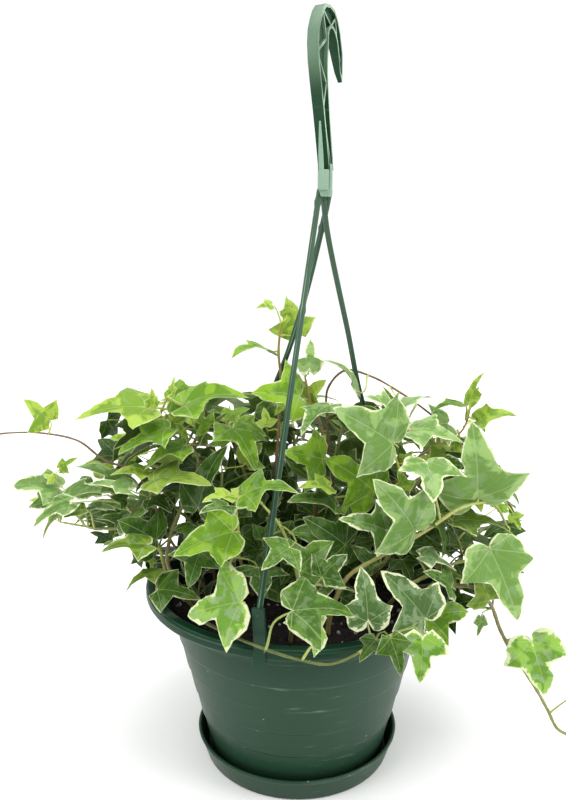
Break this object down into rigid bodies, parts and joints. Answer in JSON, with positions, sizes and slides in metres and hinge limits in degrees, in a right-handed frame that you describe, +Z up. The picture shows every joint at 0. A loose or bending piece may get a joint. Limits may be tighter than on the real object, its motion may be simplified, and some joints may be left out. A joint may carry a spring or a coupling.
{
  "type": "potted variegated english ivy",
  "caption": "Variegated english ivy in a round green hanging pot with a drip saucer and a hooked three-strand hanger, standing on its saucer.",
  "frame": {"origin": "middle of the saucer's underside, on the surface that the pot stands on", "axes": "+Z up, -Y towards the viewer of the picture, +X to the right"},
  "size_m": [0.4302, 0.2812, 0.3816],
  "materials": {
    "pot_plastic": "smooth moulded plastic with a soft gloss, lightly marked",
    "potting_mix": "loose peat with white perlite grains, fully matte",
    "hanger_plastic": "moulded plastic, satin",
    "boss_plastic": "moulded plastic, satin, paler than the hook",
    "strand_plastic": "drawn plastic rod, satin",
    "ivy_leaf": "leathery leaf with a soft sheen, green with a cream margin"
  },
  "bodies": {
    "root": {"hanger_boss": "boss_plastic", "hanger_hook": "hanger_plastic", "hanger_strand_front": "strand_plastic", "hanger_strand_left": "strand_plastic", "hanger_strand_right": "strand_plastic", "pot": "pot_plastic", "saucer": "pot_plastic", "soil": "potting_mix", "vine_back_1": "ivy_leaf", "vine_back_10": "ivy_leaf", "vine_back_11": "ivy_leaf", "vine_back_12": "ivy_leaf", "vine_back_13": "ivy_leaf", "vine_back_2": "ivy_leaf", "vine_back_3": "ivy_leaf", "vine_back_4": "ivy_leaf", "vine_back_5": "ivy_leaf", "vine_back_6": "ivy_leaf", "vine_back_7": "ivy_leaf", "vine_back_8": "ivy_leaf", "vine_back_9": "ivy_leaf", "vine_centre": "ivy_leaf", "vine_centre_front": "ivy_leaf", "vine_centre_left": "ivy_leaf", "vine_centre_right": "ivy_leaf", "vine_front_left": "ivy_leaf", "vine_front_runner": "ivy_leaf", "vine_left_low": "ivy_leaf", "vine_left_runner": "ivy_leaf", "vine_right_arc": "ivy_leaf", "vine_right_low": "ivy_leaf", "vine_right_main": "ivy_leaf", "vine_right_tip": "ivy_leaf", "vine_right_trail": "ivy_leaf", "vine_top_right": "ivy_leaf", "vine_top_shoot": "ivy_leaf", "vine_upper_left": "ivy_leaf"}
  },
  "joints": []
}
